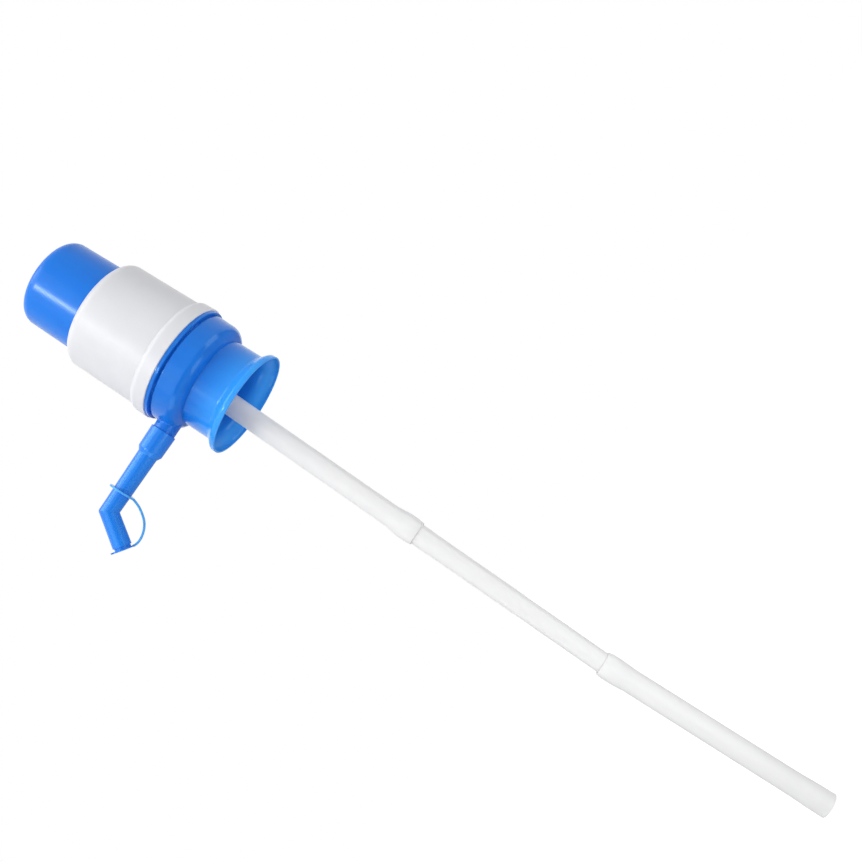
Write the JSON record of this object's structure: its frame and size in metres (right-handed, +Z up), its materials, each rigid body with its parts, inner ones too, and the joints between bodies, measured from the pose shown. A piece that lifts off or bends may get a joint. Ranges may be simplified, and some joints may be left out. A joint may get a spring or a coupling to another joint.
{
  "type": "water jug hand pump",
  "caption": "Hand pump for a large water jug: press cap over a bellows in a frosted sleeve, flared neck collar, side spout with tethered cap, and jointed suction tube.",
  "frame": {"origin": "on the pump's axis, at the ceiling of the neck collar where the jug's neck stops", "axes": "+Z up the pump's axis towards the press cap; the spout points along -X; the suction tube hangs down towards -Z"},
  "size_m": [0.1623, 0.0796, 0.5727],
  "materials": {
    "blue_plastic": "glossy moulded plastic",
    "frosted_sleeve": "milky frosted plastic with a satin sheen",
    "milky_tube": "milky translucent tube",
    "bellows_plastic": "soft blown plastic",
    "white_plastic": "moulded white plastic",
    "soft_rubber": "translucent silicone rubber"
  },
  "bodies": {
    "base": {"base_body": "blue_plastic", "neck_gasket": "soft_rubber", "plate_seal": "soft_rubber", "valve_plate": "white_plastic", "delivery_valve_pin": "white_plastic", "bellows": "bellows_plastic", "bellows_clamp_ring": "white_plastic", "spout_seal": "soft_rubber", "outer_sleeve": "frosted_sleeve", "suction_tube_upper": "milky_tube", "suction_tube_middle": "milky_tube", "suction_tube_lower": "milky_tube"},
    "cap": {"press_cap": "blue_plastic", "bellows_top_plug": "white_plastic", "intake_valve_pin": "white_plastic"},
    "intake_flap": {"intake_valve": "soft_rubber"},
    "delivery_flap": {"delivery_valve": "soft_rubber"},
    "spout_arm": {"spout": "blue_plastic", "tether_strap": "blue_plastic"},
    "outlet_lid": {"dust_cap": "blue_plastic"}
  },
  "joints": [
    {"name": "cap_press", "type": "slide", "parent": "base", "child": "cap", "axis": [0, 0, -1], "range_m": [0, 0.03], "stiffness_N_per_m": 900, "springref_m": -0.006, "deforming": ["bellows"]},
    {"name": "intake_valve_lift", "type": "slide", "parent": "cap", "child": "intake_flap", "axis": [0, 0, -1], "range_m": [0, 0.0012], "stiffness_N_per_m": 15, "springref_m": -0.0004},
    {"name": "delivery_valve_lift", "type": "slide", "parent": "base", "child": "delivery_flap", "axis": [0, 0, -1], "range_m": [0, 0.0016], "stiffness_N_per_m": 15, "springref_m": -0.0004},
    {"name": "spout_swivel", "type": "hinge", "parent": "base", "child": "spout_arm", "pos_m": [-0.049, 0, 0.0088], "axis": [-1, 0, 0], "continuous": true},
    {"name": "dust_cap_pull", "type": "slide", "parent": "spout_arm", "child": "outlet_lid", "axis": [-0.5906, 0.1815, -0.7863], "range_m": [0, 0.006]}
  ]
}
